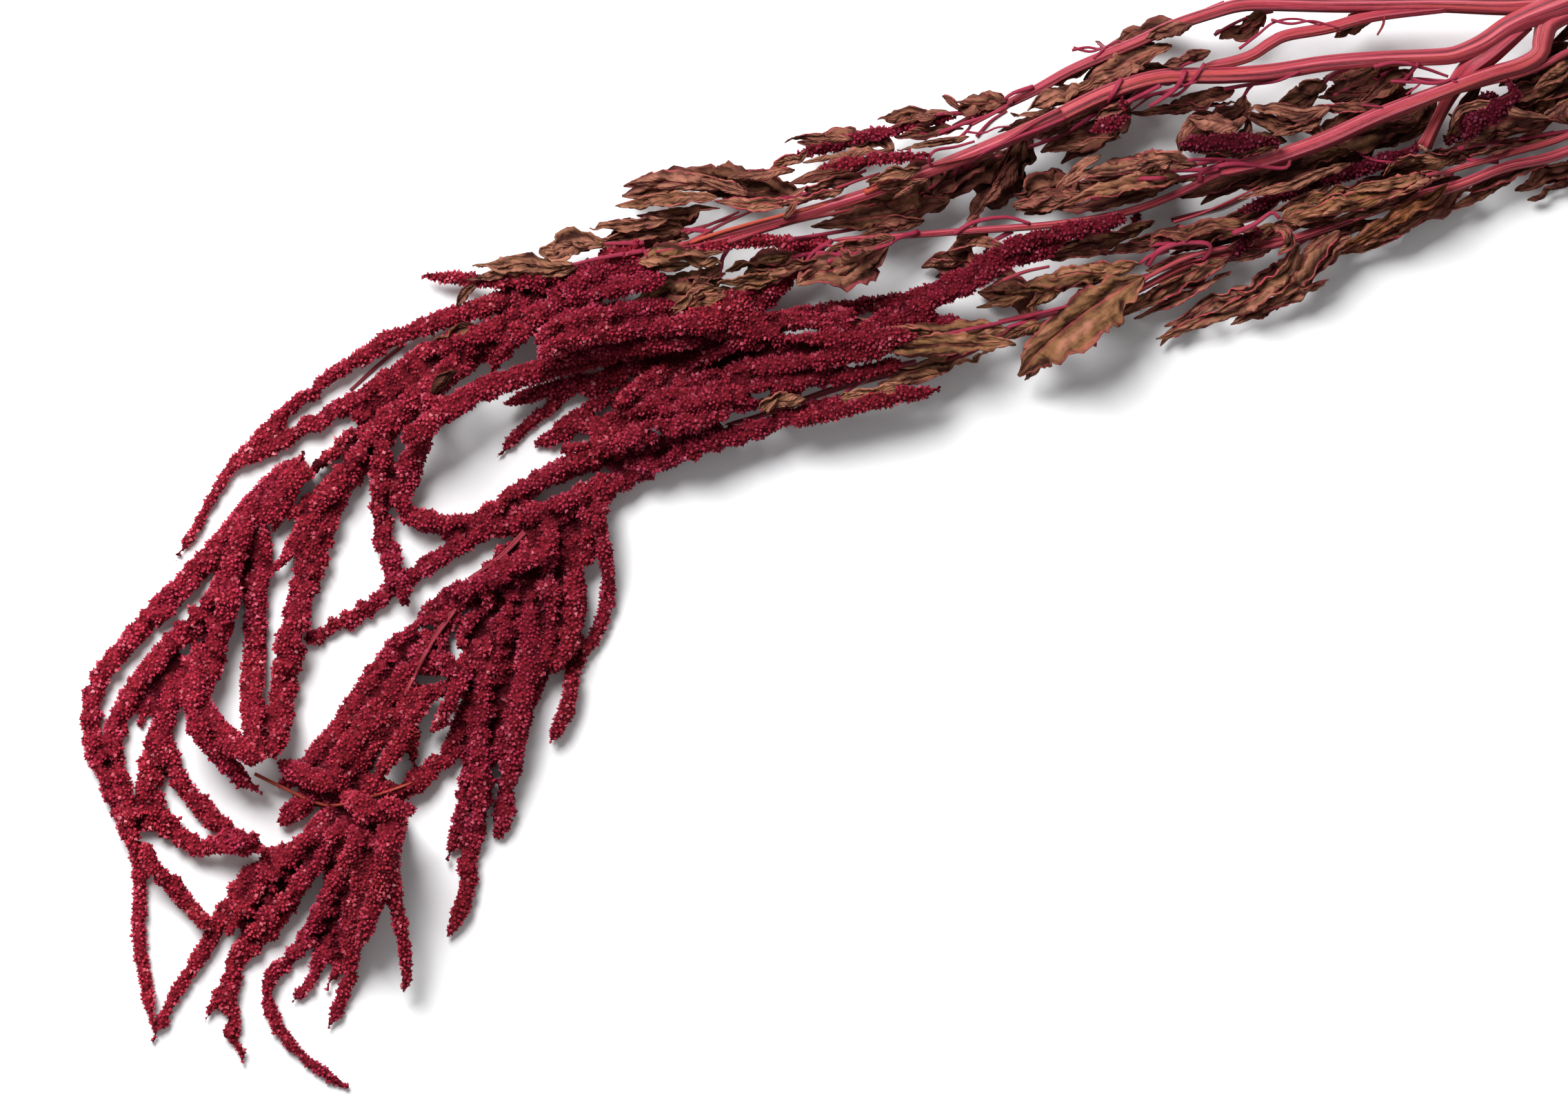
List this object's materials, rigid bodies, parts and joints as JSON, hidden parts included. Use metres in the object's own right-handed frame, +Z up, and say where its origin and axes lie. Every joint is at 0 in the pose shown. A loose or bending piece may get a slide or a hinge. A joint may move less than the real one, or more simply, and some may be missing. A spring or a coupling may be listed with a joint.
{
  "type": "dried amaranth seed head",
  "caption": "Dried hanging amaranth lying on a surface: ridged pink stems, drooping crimson floret tassels and crumpled brown leaves.",
  "frame": {"origin": "centre of the bounding box in plan, at the surface the plant lies on", "axes": "+X along the stem towards its cut end, +Y across it in plan, +Z up from the surface"},
  "size_m": [0.6656, 0.4579, 0.044],
  "materials": {
    "stem": "dry ridged plant stem, pink-red, slightly waxy",
    "tassel": "dense dry crimson florets, matt and rough",
    "leaf": "dry crumpled leaf, brown to olive, matt"
  },
  "bodies": {
    "root": {"leaf_big_left": "leaf", "leaf_big_olive": "leaf", "leaf_centre": "leaf", "leaf_dark_large": "leaf", "leaf_dark_long": "leaf", "leaf_dark_low": "leaf", "leaf_dark_under": "leaf", "leaf_edge_a": "leaf", "leaf_edge_b": "leaf", "leaf_edge_c": "leaf", "leaf_folded": "leaf", "leaf_gap_a": "leaf", "leaf_gap_b": "leaf", "leaf_hang_a": "leaf", "leaf_hang_b": "leaf", "leaf_left_b": "leaf", "leaf_left_strip": "leaf", "leaf_left_tan": "leaf", "leaf_long_tan": "leaf", "leaf_long_tip": "leaf", "leaf_low_end": "leaf", "leaf_low_mid": "leaf", "leaf_low_tan": "leaf", "leaf_mass_high": "leaf", "leaf_mass_low": "leaf", "leaf_mid_a": "leaf", "leaf_olive_a": "leaf", "leaf_olive_b": "leaf", "leaf_olive_c": "leaf", "leaf_olive_lobe": "leaf", "leaf_olive_right": "leaf", "leaf_orange": "leaf", "leaf_right_b": "leaf", "leaf_right_olive": "leaf", "leaf_right_wavy": "leaf", "leaf_round": "leaf", "leaf_row_a": "leaf", "leaf_row_b": "leaf", "leaf_row_c": "leaf", "leaf_second_tip": "leaf", "leaf_tan_pink": "leaf", "leaf_top_a": "leaf", "leaf_top_b": "leaf", "leaf_top_c": "leaf", "leaf_top_d": "leaf", "leaf_under_b": "leaf", "side_tassel_dark": "tassel", "side_tassel_drop": "tassel", "side_tassel_mid": "tassel", "side_tassel_right": "tassel", "side_tassel_second": "tassel", "side_tassel_top": "tassel", "side_tassel_upright": "tassel", "stem": "stem", "tassels_lower": "tassel", "tassels_middle": "tassel", "tassels_outer": "tassel"}
  },
  "joints": []
}
